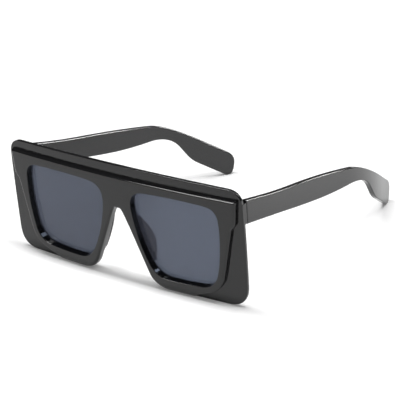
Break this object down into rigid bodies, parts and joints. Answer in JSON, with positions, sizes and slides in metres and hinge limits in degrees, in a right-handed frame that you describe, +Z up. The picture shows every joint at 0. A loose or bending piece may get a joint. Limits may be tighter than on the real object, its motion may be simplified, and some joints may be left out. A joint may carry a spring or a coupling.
{
  "type": "square sunglasses",
  "caption": "Square sunglasses with thick dark rims, raised plates round tinted lenses, and arms that fold in on metal hinges.",
  "frame": {"origin": "middle of the bounding box in X and Y, on the table under the rims and the arm tips", "axes": "+Z up; -Y the way the wearer looks; +X towards the wearer's left"},
  "size_m": [0.1574, 0.1442, 0.0639],
  "materials": {
    "frame_plastic": "polished, softly rounded edges",
    "arm_plastic": "polished",
    "pad_plastic": "satin",
    "lens": "smoke grey, clear gloss",
    "hinge_metal": "satin",
    "screw_metal": "bright"
  },
  "bodies": {
    "front": {"front_frame": "frame_plastic", "lens_left": "lens", "lens_right": "lens", "nose_pad_left": "pad_plastic", "nose_pad_right": "pad_plastic", "front_hinge_left": "hinge_metal", "front_hinge_right": "hinge_metal", "hinge_screw_left": "screw_metal", "hinge_screw_right": "screw_metal", "front_hinge_rivet_left_upper": "screw_metal", "front_hinge_rivet_left_lower": "screw_metal", "front_hinge_rivet_right_upper": "screw_metal", "front_hinge_rivet_right_lower": "screw_metal"},
    "left_arm": {"temple_left": "arm_plastic", "temple_hinge_left": "hinge_metal", "temple_hinge_rivet_left_front": "screw_metal", "temple_hinge_rivet_left_rear": "screw_metal"},
    "right_arm": {"temple_right": "arm_plastic", "temple_hinge_right": "hinge_metal", "temple_hinge_rivet_right_front": "screw_metal", "temple_hinge_rivet_right_rear": "screw_metal"}
  },
  "joints": [
    {"name": "left_arm_fold", "type": "hinge", "parent": "front", "child": "left_arm", "pos_m": [0.06468, -0.061, 0.05137], "axis": [0, 0, 1], "range_deg": [0, 90]},
    {"name": "right_arm_fold", "type": "hinge", "parent": "front", "child": "right_arm", "pos_m": [-0.07372, -0.061, 0.05137], "axis": [0, 0, -1], "range_deg": [-23.2, 55]}
  ]
}
